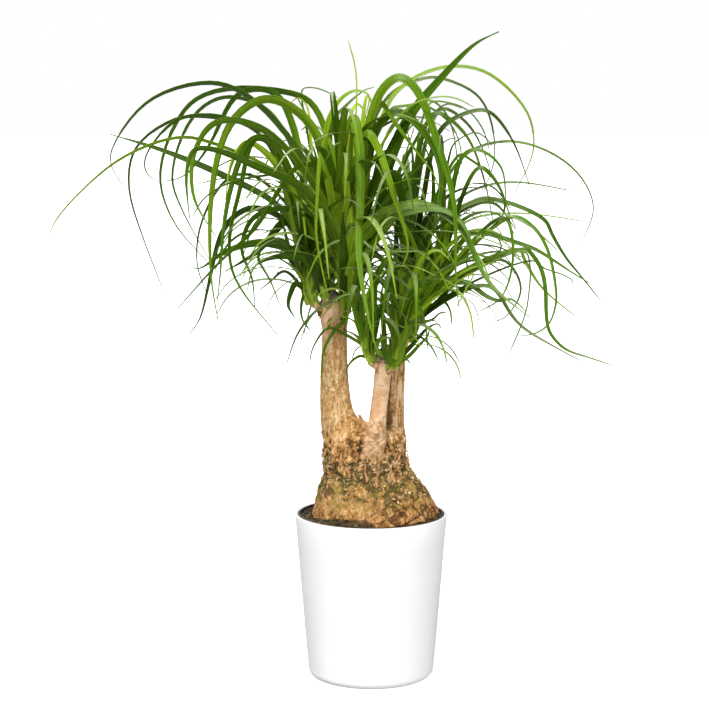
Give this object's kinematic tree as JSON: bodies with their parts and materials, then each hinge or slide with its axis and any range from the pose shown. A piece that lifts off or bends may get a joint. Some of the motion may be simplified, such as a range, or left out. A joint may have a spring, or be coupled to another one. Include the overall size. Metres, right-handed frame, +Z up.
{
  "type": "potted ponytail palm",
  "caption": "Ponytail palm with a swollen forked trunk and arching narrow leaves, in a nursery pot inside a plain tapered white cover pot.",
  "frame": {"origin": "centre of the cover pot's flat underside", "axes": "+Z up along the pot's axis, +Y away from the viewer of the picture, +X to the viewer's right"},
  "size_m": [0.6389, 0.5705, 0.7558],
  "materials": {
    "cover_pot": "white, satin, smooth",
    "nursery_pot": "black, matt, thin moulded",
    "soil": "dark crumbly peat with pale grains",
    "bark": "tan corky bark, cracked into plates at the foot, with green algae and smooth young bark higher up",
    "leaf": "mid green, satin, fine lengthwise veins"
  },
  "bodies": {
    "root": {"pot": "cover_pot", "grow_pot": "nursery_pot", "soil": "soil", "trunk": "bark", "shoot_left": "leaf", "shoot_front": "leaf", "shoot_main": "leaf", "shoot_rear": "leaf", "shoot_branch_left": "leaf", "shoot_branch_right": "leaf", "shoot_back_right": "leaf", "shoot_back_rear": "leaf"}
  },
  "joints": []
}
